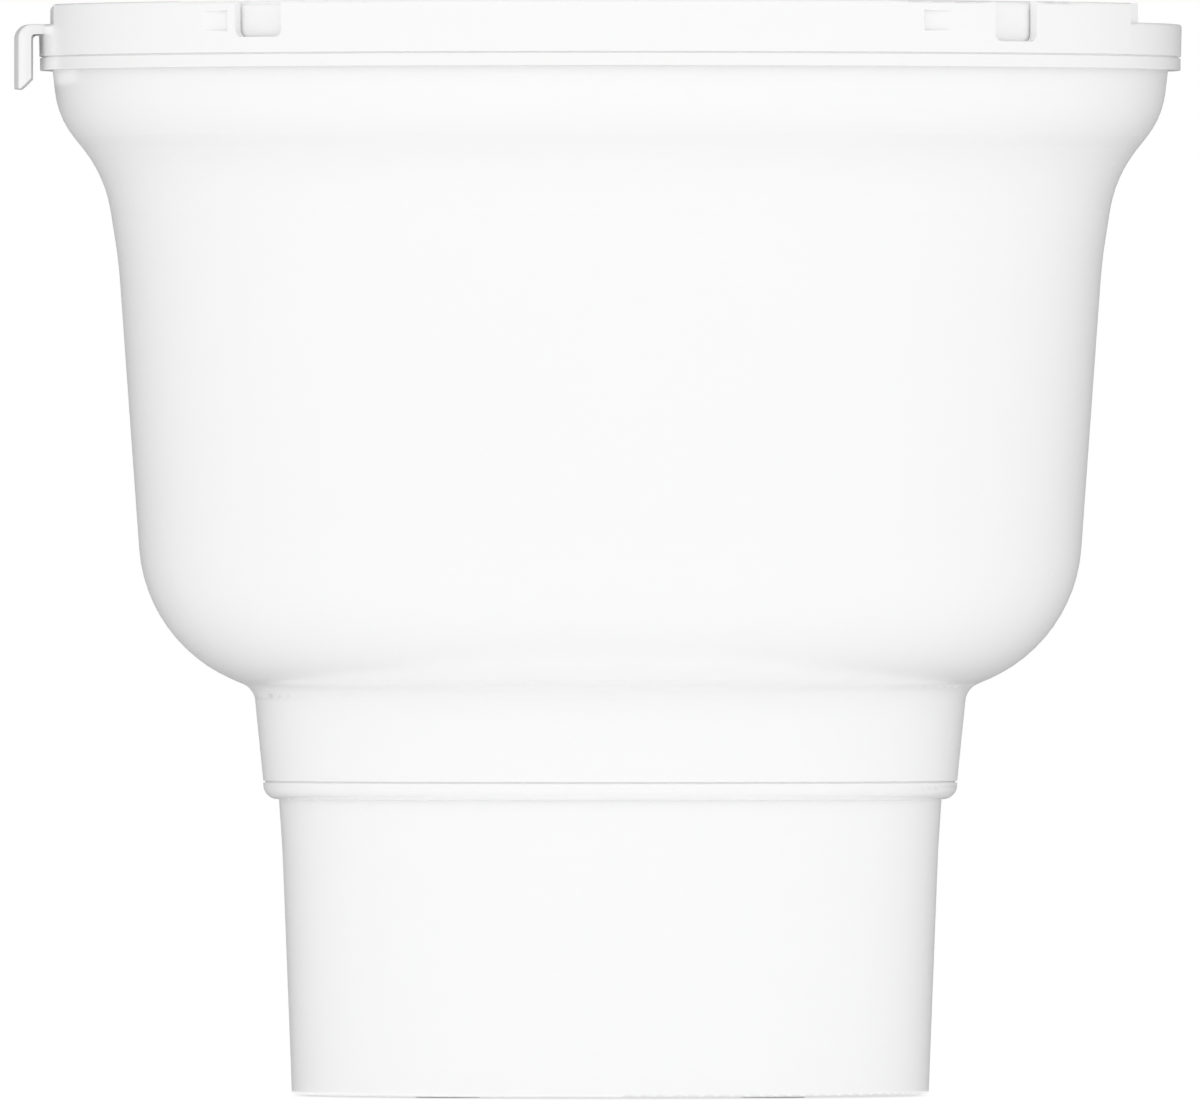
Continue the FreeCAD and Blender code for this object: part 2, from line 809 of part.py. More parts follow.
def heating_element():
    """Flat ring heater with two connection tabs."""
    low = d.hot_plate_z - d.element_thick
    ring = washer("element_ring", d.element_bore_r, d.element_r, low, d.hot_plate_z)
    half_x, half_y = d.tab_thick / 2, d.tab_width / 2
    tabs = []
    for side in (-1, 1):
        y = d.tab_y * side
        tabs.append(block(f"tab_{side}", (d.tab_x - half_x, d.tab_x + half_x), (y - half_y, y + half_y),
                          (low - d.tab_length, low + d.element_thick / 2)))
    blank = fused("element_blank", ring, *tabs)
    keep("heating_element", cut("element", blank, *stud_holes("element_hole", low, d.hot_plate_z)))


def insulation_disc():
    high = d.hot_plate_z - d.element_thick
    ring = washer("insulation_ring", d.insulation_bore_r, d.insulation_r, clamp_top, high)
    holes = stud_holes("insulation_hole", clamp_top, high) + tab_holes("insulation_tab", clamp_top, high)
    keep("insulation_disc", cut("insulation", ring, *holes))


def clamp_plate():
    """Steel disc that presses the element and its insulation up against the heating plate."""
    ring = washer("clamp_ring", d.clamp_bore_r, d.clamp_r, clamp_under, clamp_top)
    holes = stud_holes("clamp_hole", clamp_under, clamp_top) + tab_holes("clamp_tab", clamp_under, clamp_top)
    for side in (-1, 1):
        radius = d.strap_screw_r + d.screw_clearance
        x = d.strap_screw_x * side
        holes.append(rod(f"strap_pilot_{side}", radius, d.clamp_thick, x, 0, clamp_under))
    keep("clamp_plate", cut("clamp", ring, *holes))


def clamp_hardware():
    """Three studs under the heating plate and the nuts that draw the clamp up."""
    foot = clamp_under - d.nut_height - d.stud_tail
    studs, nuts = [], []
    for turn in THIRDS:
        x, y = on_circle(d.stud_circle, turn)
        studs.append(rod(f"clamp_stud_{turn}", d.clamp_stud_r, d.hot_plate_z - foot, x, y, foot))
        prism = doc.addObject("Part::Prism", f"nut_prism_{turn}")
        prism.Polygon = 6
        bind(prism, Circumradius=d.nut_across / 2 / cosine(30), Height=d.nut_height)
        move(prism, x, y, clamp_under - d.nut_height)
        bore_r = d.clamp_stud_r + d.screw_clearance
        bore = rod(f"nut_bore_{turn}", bore_r, d.nut_height, x, y, clamp_under - d.nut_height)
        nuts.append(cut(f"nut_{turn}", prism, bore))
    keep("clamp_studs", group("stud_group", studs))
    keep("clamp_nuts", group("nut_group", nuts))


cap_under = clamp_top + d.strap_thick
thermostat_foot = cap_under - d.thermostat_body
blade_foot = thermostat_foot - d.blade_length


def thermostat():
    """Snap-disc thermostat: its cap touches the heating plate, its two blades point down."""
    body = turned("thermostat_body", [
        (0, thermostat_foot), (d.thermostat_r, thermostat_foot), (d.thermostat_r, cap_under),
        (d.thermostat_cap_r, cap_under), (d.thermostat_cap_r, d.hot_plate_z, d.small_round),
        (0, d.hot_plate_z)])
    half_x, half_y = d.tab_thick / 2, d.tab_width / 2
    blades = []
    for side in (-1, 1):
        x = d.blade_spread * side
        blades.append(block(f"blade_{side}", (x - half_x, x + half_x), (-half_y, half_y),
                            (blade_foot, thermostat_foot + d.tab_thick)))
    keep("thermostat", fused("thermostat_whole", body, *blades))
    half_x, half_y = d.strap_length / 2, d.strap_width / 2
    strap = block("strap_bar", (-half_x, half_x), (-half_y, half_y), (clamp_top, cap_under))
    holes = [rod("strap_bore", d.thermostat_r + d.stud_clearance, d.strap_thick, 0, 0, clamp_top)]
    made = []
    for side in (-1, 1):
        x = d.strap_screw_x * side
        hole_r = d.strap_screw_r + d.stud_clearance
        holes.append(rod(f"strap_hole_{side}", hole_r, d.strap_thick, x, 0, clamp_top))
        head = cap_under + d.strap_screw_head
        corners = [(0, clamp_under), (d.strap_screw_r, clamp_under), (d.strap_screw_r, cap_under),
                   (d.strap_screw_head_r, cap_under), (d.strap_screw_head_r, head, d.small_round), (0, head)]
        made.append(turned_at(f"strap_screw_{side}", corners, x, 0))
    keep("thermostat_strap", cut("strap", strap, *holes))
    keep("strap_screws", group("strap_screw_group", made))


fuse_z = clamp_under - d.fuse_r - d.fit_gap
fuse_half = d.fuse_length / 2


def thermal_fuse():
    """One-shot fuse in a saddle clip under the clamp plate."""
    barrel = rod("fuse_barrel", d.fuse_r, d.fuse_length, -d.fuse_x, -fuse_half, fuse_z, ALONG_Y)
    reach = fuse_half + d.fuse_lead
    wire = rod("fuse_wire", d.fuse_lead_r, reach * 2, -d.fuse_x, -reach, fuse_z, ALONG_Y)
    keep("thermal_fuse", fused("fuse", barrel, wire))
    inner = d.fuse_r + d.stud_clearance
    outer = inner + d.clip_thick
    half = d.clip_width / 2
    saddle = rod("saddle", outer, d.clip_width, -d.fuse_x, -half, fuse_z, ALONG_Y)
    across = (-d.fuse_x - outer, outer - d.fuse_x)
    sides = block("saddle_sides", across, (-half, half), (fuse_z, clamp_under))
    feet = block("saddle_feet", (across[0] - d.clip_foot, across[1] + d.clip_foot), (-half, half),
                 (clamp_under - d.clip_thick, clamp_under))
    blank = fused("saddle_blank", saddle, sides, feet)
    bore = rod("saddle_bore", inner, d.clip_width, -d.fuse_x, -half, fuse_z, ALONG_Y)
    slot = block("saddle_slot", (-d.fuse_x - inner, inner - d.fuse_x), (-half, half), (fuse_z, clamp_under))
    above = block("saddle_above", across, (-half, half), (clamp_under, clamp_under + outer))
    keep("fuse_clip", cut("clip", blank, bore, slot, above))


# Appliance inlet and the leads inside

inlet_face = pedestal_inside(d.inlet_z) + d.pedestal_wall + d.inlet_proud
inlet_back = inlet_face - d.inlet_depth
tag_end = inlet_back - d.pin_tail


def inlet():
    """Two-pin appliance socket, held from inside by its flange."""
    half, rise = d.inlet_width / 2, d.inlet_height / 2
    high = (d.inlet_z - rise, d.inlet_z + rise)
    shell = block("inlet_body", (-half, half), (inlet_back, inlet_face), high)
    edge = d.inlet_flange_edge
    deep = (d.inlet_flange_y, d.inlet_flange_y + d.inlet_flange)
    flange = block("inlet_flange_plate", (-half - edge, half + edge), deep, (high[0] - edge, high[1] + edge))
    floor = inlet_face - d.socket_depth
    tools = [block("socket_waist", (-d.pin_spread, d.pin_spread), (floor, inlet_face),
                   (d.inlet_z - d.socket_lobe_r, d.inlet_z + d.socket_lobe_r))]
    pins = []
    for side in (-1, 1):
        x = d.pin_spread * side
        lobe_r = d.socket_lobe_r
        tools.append(rod(f"socket_lobe_{side}", lobe_r, d.socket_depth, x, floor, d.inlet_z, ALONG_Y))
        bore_r = d.pin_r + d.screw_clearance
        tools.append(rod(f"pin_bore_{side}", bore_r, d.inlet_depth, x, inlet_back, d.inlet_z, ALONG_Y))
        length = floor + d.pin_length - tag_end
        pins.append(rod(f"pin_{side}", d.pin_r, length, x, tag_end, d.inlet_z, ALONG_Y))
    keep("inlet_socket", cut("inlet_shell", fused("inlet_blank", shell, flange), *tools))
    keep("inlet_pins", group("pin_group", pins))


def lead(node, points):
    """Insulated wire of straight runs joined by tangent arcs."""
    radius, bend = d.lead_r.value, d.lead_bend.value
    corners = [FreeCAD.Vector(*(sized(value).value for value in point)) for point in points]
    edges, start = [], corners[0]
    for before, here, after in zip(corners, corners[1:], corners[2:]):
        back, on = before - here, after - here
        half = back.getAngle(on) / 2
        limit = d.bend_share.value * min(back.Length, on.Length)
        reach = min(bend / math.tan(half), limit)
        turn = reach * math.tan(half)
        back.normalize()
        on.normalize()
        middle = here + (back + on).normalize() * (turn / math.sin(half) - turn)
        edges.append(Part.LineSegment(start, here + back * reach).toShape())
        edges.append(Part.Arc(here + back * reach, middle, here + on * reach).toShape())
        start = here + on * reach
    edges.append(Part.LineSegment(start, corners[-1]).toShape())
    path = Part.Wire(edges)
    ring = Part.Wire(Part.makeCircle(radius, corners[0], corners[1] - corners[0]))
    wire = doc.addObject("Part::Feature", node)
    wire.Shape = path.makePipeShell([ring], True, False)
    keep(node, wire)
    print(node, "length", round(path.Length, 1), "volume error",
          round(wire.Shape.Volume / (math.pi * radius ** 2 * path.Length) - 1, 4))


def leads():
    """Wires from the inlet through the fuse and the thermostat to the heating element."""
    fuse_end = fuse_half + d.fuse_lead
    tab_foot = d.hot_plate_z - d.element_thick - d.tab_length
    up = (d.inlet_z + blade_foot) / 2
    drop = d.lead_run
    lead("lead_live", [(-d.pin_spread, tag_end, d.inlet_z), (-d.pin_spread, tag_end - drop, d.inlet_z),
                       (-d.fuse_x, fuse_end + drop, up), (-d.fuse_x, fuse_end + drop, fuse_z),
                       (-d.fuse_x, fuse_end, fuse_z)])
    lead("lead_link", [(-d.fuse_x, -fuse_end, fuse_z), (-d.fuse_x, -fuse_end - drop, fuse_z),
                       (-d.blade_spread - drop, -drop, blade_foot - drop),
                       (-d.blade_spread, 0, blade_foot - drop), (-d.blade_spread, 0, blade_foot)])
    lead("lead_heater", [(d.blade_spread, 0, blade_foot), (d.blade_spread, 0, blade_foot - drop),
                         (d.tab_x, -d.tab_y, blade_foot - drop), (d.tab_x, -d.tab_y, tab_foot)])
    lead("lead_neutral", [(d.pin_spread, tag_end, d.inlet_z), (d.pin_spread, tag_end - drop, d.inlet_z),
                          (d.tab_x, d.tab_y, up), (d.tab_x, d.tab_y, tab_foot)])


# Pot

def inner_pot():
    """Bowl that hangs in the bell by its flange and lifts straight out."""
    outside = bell_wall(d.wall + d.pot_gap)[2:]
    inside = bell_wall(d.wall + d.pot_gap + d.pot_wall)[2:]
    side = bell_headings[2]

    def floor_corner(wall, z, radius):
        heel = wall[0].corner
        place = (heel[0] + (z - heel[1]) / tangent(side), z)
        return Round(place, radius, sized(0), side)

    floor = d.pot_floor_z + d.pot_wall
    corners = [(0, d.pot_floor_z), floor_corner(outside, d.pot_floor_z, d.pot_corner)]
    corners += outside[1:]
    corners += [(d.pot_flange_r, d.rim_z), (d.pot_flange_r, d.seat_z), (inside[-1][0], d.seat_z)]
    corners += downwards(inside[1:-1])
    corners += [floor_corner(inside, floor, d.pot_corner - d.pot_wall).backwards(), (0, floor)]
    keep("inner_pot", turned("pot", corners))


# Lid ring

fixed_end = d.moving_knuckle_out + d.knuckle_gap
fixed_middle = d.moving_knuckle_in - d.knuckle_gap


def rounded_slot(name, floor, turn):
    """Tool for an open-topped slot in the crown, with rounded bottom corners."""
    half = d.slot_width / 2
    inner, outer = d.crown_in - d.fit_gap, d.collar_top_r + d.fit_gap
    straight = block(f"{name}_straight", (inner, outer), (-half, half),
                     (floor + d.slot_round, d.crown_z + d.slot_round), turn)
    bottom = block(f"{name}_bottom", (inner, outer), (d.slot_round - half, half - d.slot_round),
                   (floor, floor + d.slot_round * 2), turn)
    parts = [straight, bottom]
    for side in (-1, 1):
        offset = (half - d.slot_round) * side
        corner = rod(f"{name}_corner_{side}", d.slot_round, outer - inner, 0, 0, 0)
        outwards = FreeCAD.Rotation(FreeCAD.Vector(0, 0, 1), sized(turn).value).multiply(ALONG_X)
        corner.Placement = FreeCAD.Placement(FreeCAD.Vector(0, 0, 0), outwards)
        across, along = cosine(turn), sine(turn)
        move(corner, inner * across - offset * along, inner * along + offset * across, floor + d.slot_round)
        parts.append(corner)
    return fused(name, *parts)


def catch_recess(name, near, far, side):
    """Tool for a drafted recess in the crown: deep at its near end, then a ramp that runs out."""
    way = 1 if far.value > near.value else -1
    middle = (near + far) / 2
    chord = d.collar_top_r * sine((far - near) / 2 * way) * 2
    depth, length = chord * sine(d.catch_ramp), chord * cosine(d.catch_ramp)
    facing = (middle - 90) * way - d.catch_ramp
    lean = depth * tangent(facing + d.catch_draft)
    narrow = depth * tangent(d.catch_draft)
    floor, mouth = [-d.crown_wall, length - lean], [-d.crown_wall, length + lean]
    if way * side < 0:
        floor, mouth = [-floor[1], -floor[0]], [-mouth[1], -mouth[0]]
    tool = doc.addObject("Part::Wedge", name)
    bind(tool, Ymin=0, Xmin=floor[0], Xmax=floor[1])
    bind(tool, Zmin=d.catch_low_z + narrow, Zmax=d.catch_high_z - narrow)
    bind(tool, Ymax=depth * 2, X2min=mouth[0], X2max=mouth[1])
    bind(tool, Z2min=d.catch_low_z - narrow, Z2max=d.catch_high_z + narrow)
    turn = (middle - d.catch_ramp * way) * side - 90
    spin = FreeCAD.Rotation(FreeCAD.Vector(0, 0, 1), turn.value)
    tool.Placement = FreeCAD.Placement(FreeCAD.Vector(0, 0, 0), spin)
    x, y = on_circle(d.collar_top_r, far * side)
    move(tool, x, y, 0)
    return tool


def collar_line(z):
    """Outer radius of the collar, which leans out from its foot to the top of the crown."""
    foot_z = d.seat_z + d.shadow_gap
    return d.collar_foot_r + d.collar_lean * ((z - foot_z) / (d.crown_z - foot_z))


def collar():
    """Turned ring of collar, web and spigot, with the seal's groove and a shadow line at its foot."""
    groove_r = d.spigot_r - d.pot_seal_depth
    groove_top = d.pot_seal_z + d.pot_seal_height
    spigot_in = d.spigot_r - d.spigot_wall
    foot_z = d.seat_z + d.shadow_gap
    return turned("collar", [
        (d.opening_r, d.seat_z), (spigot_in, d.seat_z), (spigot_in, d.spigot_foot),
        (d.spigot_r, d.spigot_foot), (d.spigot_r, d.pot_seal_z), (groove_r, d.pot_seal_z),
        (groove_r, groove_top), (d.spigot_r, groove_top), (d.spigot_r, d.seat_z),
        (d.collar_foot_r - d.collar_shadow, d.seat_z), (d.collar_foot_r - d.collar_shadow, foot_z),
        (d.collar_foot_r, foot_z),
        (collar_line(d.notch_floor_z), d.notch_floor_z, d.notch_round), (d.crown_in, d.notch_floor_z),
        (d.crown_in, d.web_top), (d.opening_r, d.web_top)])


def crown():
    """Upper part of the ring, cut away beside the pull tab and behind the hinge."""
    ring = turned("crown_ring", [
        (d.crown_in, d.web_top), (collar_line(d.web_top), d.web_top),
        (d.collar_top_r, d.crown_z, d.notch_round), (d.crown_in, d.crown_z)])
    reach = d.tab_out_r + d.tab_wall
    high = (d.web_top, d.crown_z + d.slot_round)
    left = block("left_notch", (-reach, -d.left_notch_x), (-reach, reach), high)
    right = block("right_notch", (d.right_notch_x, reach), (-reach, reach), high)
    return cut("crown", ring, left, right)


def soften_ends(tab):
    """Round the outer edges of the pull tab's two ends."""
    turn = tab.Tip
    outer, foot = (d.tab_out_r - d.tab_wall / 2).value, (d.tab_foot_z + d.tab_slant).value
    names = []
    for index, edge in enumerate(turn.Shape.Edges, start=1):
        middle = edge.valueAt((edge.FirstParameter + edge.LastParameter) / 2)
        on_end = math.isclose(math.degrees(math.atan2(abs(middle.y), middle.x)), d.tab_span.value / 2)
        on_top = math.isclose(middle.z, d.notch_floor_z.value)
        on_skin = math.hypot(middle.x, middle.y) > outer and middle.z > foot
        if on_end and (on_top or on_skin):
            names.append(f"Edge{index}")
    soft = tab.newObject("PartDesign::Fillet", "pull_tab_edges")
    soft.Base = (turn, names)
    soft.setExpression("Radius", d.tab_edge.text)
    doc.recompute()


def pull_tab():
    """Curved lip that leaves the collar's left side, turns down and ends in a slanted foot."""
    inner = d.tab_out_r - d.tab_wall
    under = d.notch_floor_z - d.tab_arm
    root = d.collar_top_r - d.crown_wall / 2
    corners = [(root, d.notch_floor_z), (d.tab_out_r, d.notch_floor_z, d.tab_bend),
               (d.tab_out_r, d.tab_foot_z), (inner + d.tab_slant, d.tab_foot_z),
               (inner, d.tab_foot_z + d.tab_slant), (inner, under, d.tab_bend - d.tab_arm), (root, under)]
    tab = turned("pull_tab", corners, d.tab_span)
    soften_ends(tab)
    tab.Placement = FreeCAD.Placement(FreeCAD.Vector(0, 0, 0), HALF_TURN)
    return tab


def hinge_bridge():
    """Fixed bar across the right of the crown, with two ears beside the cover and three hinge knuckles."""
    disc = rod("bridge_disc", d.crown_in + d.crown_wall / 2, d.crown_z - d.web_top, 0, 0, d.web_top)
    high = (d.web_top, d.crown_z)
    bar = block("bridge_bar", (d.bridge_x, d.bridge_end_x), (-d.collar_top_r, d.collar_top_r), high)
    ears = []
    for side in (-1, 1):
        span = (d.ear_y, d.collar_top_r) if side > 0 else (-d.collar_top_r, -d.ear_y)
        ears.append(block(f"ear_{side}", (d.ear_x, d.bridge_end_x), span, high))
    bridge = common("bridge", disc, fused("bridge_outline", bar, *ears))
    knuckles = []
    for name, low, high_y in (("front", -d.hinge_half, -fixed_end), ("middle", -fixed_middle, fixed_middle),
                              ("back", fixed_end, d.hinge_half)):
        length = high_y - low
        knuckles.append(rod(f"fixed_knuckle_{name}", d.knuckle_r, length, d.hinge_x, low, d.hinge_z, ALONG_Y))
        knuckles.append(block(f"fixed_arm_{name}", (d.hinge_x, d.bridge_x + d.fit_gap), (low, high_y),
                              (d.hinge_z - d.knuckle_r, d.hinge_z)))
    return fused("hinge_bridge", bridge, *knuckles)


def lid_ring():
    """Ring that closes the pot: collar and crown with slots and catches, pull tab and hinge bridge."""
    right_floor, left_floor = d.crown_z - d.right_slot_depth, d.crown_z - d.left_slot_depth
    tools = []
    for side in (-1, 1):
        tools.append(rounded_slot(f"right_slot_{side}", right_floor, d.right_slot_turn * side))
        tools.append(rounded_slot(f"left_slot_{side}", left_floor, d.left_slot_turn * side))
        tools.append(catch_recess(f"right_catch_{side}", d.right_catch_near, d.right_catch_far, side))
        tools.append(catch_recess(f"left_catch_{side}", d.left_catch_near, d.left_catch_far, side))
    bare = cut("bare_ring", fused("collar_and_crown", collar(), crown()), *tools)
    blank = fused("ring_blank", bare, hinge_bridge(), pull_tab())
    bore_r = d.hinge_pin_r + d.pin_fit
    bore = rod("fixed_bore", bore_r, d.pin_half * 2, d.hinge_x, -d.pin_half, d.hinge_z, ALONG_Y)
    keep("lid_ring", cut("ring", blank, bore))


def seals():
    """Silicone rings: one round the spigot, one on the web under the cover."""
    low, high = d.pot_seal_z, d.pot_seal_z + d.pot_seal_height
    groove_r = d.spigot_r - d.pot_seal_depth
    middle = (low + high) / 2
    keep("pot_seal", turned("spigot_ring", [
        (groove_r, low), (d.spigot_r, low), (d.spigot_r + d.pot_seal_proud, middle, d.small_round),
        (d.spigot_r, high), (groove_r, high)]))
    inner, outer = d.cover_seal_in_r, d.cover_seal_in_r + d.cover_seal_width
    top = d.web_top + d.cover_seal_height
    keep("cover_seal", turned("web_ring", [
        (inner, d.web_top), (outer, d.web_top), (outer, top, d.small_round), (inner, top, d.small_round)]))


def hinge_pin():
    keep("hinge_pin", rod("pin", d.hinge_pin_r, d.pin_half * 2, d.hinge_x, -d.pin_half, d.hinge_z, ALONG_Y))


# Flip cover

def cover_tray():
    """Shallow inverted tray: crowned top, skirt and a rib that presses on the seal."""
    skirt_foot = d.web_top + d.fit_gap
    under = d.crown_z - d.cover_thick
    rib_out = d.rib_in_r + d.rib_wall
    rib_foot = d.web_top + d.cover_seal_height + d.fit_gap
    skirt_in = d.cover_r - d.cover_wall
    return turned("tray", [
        (0, d.crown_z + d.cover_crown), (d.cover_r, d.crown_z, d.cover_edge), (d.cover_r, skirt_foot),
        (skirt_in, skirt_foot), (skirt_in, under), (rib_out, under), (rib_out, rib_foot),
        (d.rib_in_r, rib_foot), (d.rib_in_r, under), (0, under + d.cover_crown)])


def lid_cover():
    """Hinged cover, cut straight at the hinge, with two knuckles and a thumb dish at the left."""
    chord = d.hinge_x - d.knuckle_r - d.chord_gap
    skirt_foot = d.web_top + d.fit_gap
    past = d.crown_z + d.cover_crown * 2
    trim = d.fit_gap + d.cover_gap / 2
    high = (skirt_foot, past)
    tools = [block("cover_chord", (chord, d.collar_top_r), (-d.collar_top_r, d.collar_top_r), high)]
    for side in (-1, 1):
        edge = d.ear_y - trim
        span = (edge, d.collar_top_r) if side > 0 else (-d.collar_top_r, -edge)
        tools.append(block(f"cover_corner_{side}", (d.ear_x - trim, d.collar_top_r), span, high))
    tray = cut("tray_cut", cover_tray(), *tools)
    half = d.ear_y - trim
    wall = block("chord_wall", (chord - d.cover_wall, chord), (-half, half), (skirt_foot, d.crown_z))
    added = [tray, wall]
    for side in (-1, 1):
        inside = d.ear_y - trim - d.cover_wall
        span = (inside, half) if side > 0 else (-half, -inside)
        along = (d.ear_x - trim - d.cover_wall, chord)
        added.append(block(f"corner_wall_{side}", along, span, (skirt_foot, d.crown_z)))
        span = (inside, d.collar_top_r) if side > 0 else (-d.collar_top_r, -inside)
        corner = block(f"corner_face_{side}", (d.ear_x - trim - d.cover_wall, d.ear_x - trim), span,
                       (skirt_foot, d.crown_z - d.cover_edge))
        round_off = rod(f"corner_round_{side}", d.cover_r, d.crown_z - skirt_foot, 0, 0, skirt_foot)
        added.append(common(f"corner_piece_{side}", corner, round_off))
        length = d.moving_knuckle_out - d.moving_knuckle_in
        start = d.moving_knuckle_in if side > 0 else -d.moving_knuckle_out
        added.append(rod(f"moving_knuckle_{side}", d.knuckle_r, length, d.hinge_x, start, d.hinge_z, ALONG_Y))
        rise = d.knuckle_r - d.fit_gap
        added.append(block(f"moving_arm_{side}", (chord - d.fit_gap, d.hinge_x), (start, start + length),
                           (d.hinge_z - rise, d.hinge_z + rise)))
    dish_z = d.crown_z - d.dish_depth + d.dish_r
    bowl = doc.addObject("Part::Sphere", "dish_bowl")
    bind(bowl, Radius=d.dish_r + d.cover_thick)
    move(bowl, -d.dish_x, 0, dish_z)
    reach = d.dish_r + d.cover_thick
    slab = block("dish_slab", (-d.dish_x - reach, reach - d.dish_x), (-reach, reach),
                 (d.crown_z - d.dish_depth - d.cover_thick, d.crown_z - d.cover_thick / 2))
    added.append(common("dish_boss", bowl, slab))
    scoop = doc.addObject("Part::Sphere", "dish_scoop")
    bind(scoop, Radius=d.dish_r)
    move(scoop, -d.dish_x, 0, dish_z)
    bore_r = d.hinge_pin_r + d.pin_play
    bore = rod("moving_bore", bore_r, d.pin_half * 2, d.hinge_x, -d.pin_half, d.hinge_z, ALONG_Y)
    keep("lid_cover", cut("cover", fused("cover_blank", *added), scoop, bore))


def build():
    outer_housing()
    pedestal()
    base_plate()
    rubber_feet()
    screws("neck_screws", d.joint_z - d.flange_thick, False)
    screws("deck_screws", d.deck_z + d.deck_thick, True)
    heater_deck()
    heating_plate()
    heating_element()
    insulation_disc()
    clamp_plate()
    clamp_hardware()
    thermostat()
    thermal_fuse()
    inlet()
    leads()
    inner_pot()
    lid_ring()
    seals()
    hinge_pin()
    lid_cover()
    doc.recompute()


def check():
    """Stop if any object failed or any piece is empty or broken."""
    for obj in doc.Objects:
        if "Invalid" in obj.State or "Error" in obj.State:
            raise RuntimeError(f"{obj.Label} did not build: {obj.State}")
    for node, obj in pieces.items():
        if obj.Shape.isNull() or not obj.Shape.isValid() or not obj.Shape.Solids:
            raise RuntimeError(f"{node} is not a sound solid")


def write():
    os.makedirs("parts", exist_ok=True)
    for node, obj in pieces.items():
        obj.Shape.exportStep(f"parts/{node}.step")
        box = obj.Shape.optimalBoundingBox()
        print(node, len(obj.Shape.Solids), "solids", round(obj.Shape.Volume / 1000, 2), "cm3",
              "z", round(box.ZMin, 2), round(box.ZMax, 2))


build()
check()
write()
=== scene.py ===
# %% [markdown]
# # A white yogurt maker in the studio
# The appliance is a bell-shaped housing on a pedestal, with a loose pot inside, a lid ring that lifts off
# by a pull tab, and a flip cover on a hinge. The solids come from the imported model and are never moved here.
# This lesson sets up a level camera and a soft light, then gives every piece a finish made of shader nodes.

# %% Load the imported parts
import json
import math

import bmesh
import bpy
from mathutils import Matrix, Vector

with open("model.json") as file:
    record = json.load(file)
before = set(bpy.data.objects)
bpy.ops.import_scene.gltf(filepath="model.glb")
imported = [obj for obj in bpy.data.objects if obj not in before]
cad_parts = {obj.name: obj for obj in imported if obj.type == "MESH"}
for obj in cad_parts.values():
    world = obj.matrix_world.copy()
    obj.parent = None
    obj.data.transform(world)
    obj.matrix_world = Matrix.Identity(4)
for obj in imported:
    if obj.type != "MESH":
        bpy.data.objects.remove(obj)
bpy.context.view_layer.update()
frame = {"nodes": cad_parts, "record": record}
nodes = frame["nodes"]
scene = bpy.context.scene
scene.view_settings.view_transform = "Standard"
MM = 0.001

# %% [markdown]
# ## Camera
# The photograph is level and almost without perspective: rims and joints are straight lines. An
# orthographic camera would do, but a perspective camera with a very long lens is easier to move round the
# object, because its distance alone sets how much it sees. The view is as wide as the lid and the tab with
# a thin margin.

# %% Level camera with a long lens
VIEW_WIDTH = 210.1 * MM
VIEW_CENTRE = Vector((-1.8 * MM, 0, 95.3 * MM))
LENS = 1500.0
SENSOR = 36.0

camera_data = bpy.data.cameras.new("side_view")
camera_data.lens = LENS
camera_data.sensor_width = SENSOR
camera_distance = VIEW_WIDTH * LENS / SENSOR
camera_data.clip_start = camera_distance / 10
camera_data.clip_end = camera_distance * 4
camera = bpy.data.objects.new("side_view", camera_data)
camera.location = VIEW_CENTRE - Vector((0, camera_distance, 0))
camera.rotation_euler = (math.radians(90), 0, 0)
scene.collection.objects.link(camera)
scene.camera = camera
print("camera", round(camera_distance, 2), "m away")

# %% [markdown]
# ## Writing shaders as sums
# A finish is easier to read as arithmetic than as a list of nodes. A Wire is an output socket; adding or
# multiplying wires adds Math nodes. A Finish is one material, and its add method makes any other node.

# %% Shader helpers
# The wave texture multiplies its place by this number
WAVE_TURNS = 20


class Wire:
    """An output socket that takes part in arithmetic."""

    def __init__(self, nodes, socket):
        self.nodes = nodes
        self.socket = socket

    def maths(self, operation, first, second):
        return self.nodes.add("ShaderNodeMath", {"operation": operation}, {0: first, 1: second})

    def __add__(self, other):
        return self.maths("ADD", self, other)

    def __sub__(self, other):
        return self.maths("SUBTRACT", self, other)

    def __rsub__(self, other):
        return self.maths("SUBTRACT", other, self)

    def __mul__(self, other):
        return self.maths("MULTIPLY", self, other)

    __radd__ = __add__
    __rmul__ = __mul__


class Nodes:
    """A node tree that starts empty."""

    def __init__(self, tree):
        self.tree = tree
        tree.nodes.clear()

    def add(self, kind, settings=None, inputs=None, output=0):
        """A node of any kind: its settings first, then the values or wires of its sockets."""
        node = self.tree.nodes.new(kind)
        for name, value in (settings or {}).items():
            setattr(node, name, value)
        for name, value in (inputs or {}).items():
            if isinstance(value, Wire):
                self.tree.links.new(value.socket, node.inputs[name])
            else:
                node.inputs[name].default_value = value
        return Wire(self, node.outputs[output])

    def seen(self):
        """1 for rays that show a background: from the camera, off a gloss or through glass."""
        camera = self.add("ShaderNodeLightPath", output="Is Camera Ray")
        glossy = self.add("ShaderNodeLightPath", output="Is Glossy Ray")
        clear = self.add("ShaderNodeLightPath", output="Is Transmission Ray")
        inputs = {0: camera + glossy, 1: clear}
        return self.add("ShaderNodeMath", {"operation": "ADD", "use_clamp": True}, inputs)

    def finish_with(self, kind, shader):
        """The output node, fed by a shader."""
        output = self.tree.nodes.new(kind)
        self.tree.links.new(shader.socket, output.inputs["Surface"])


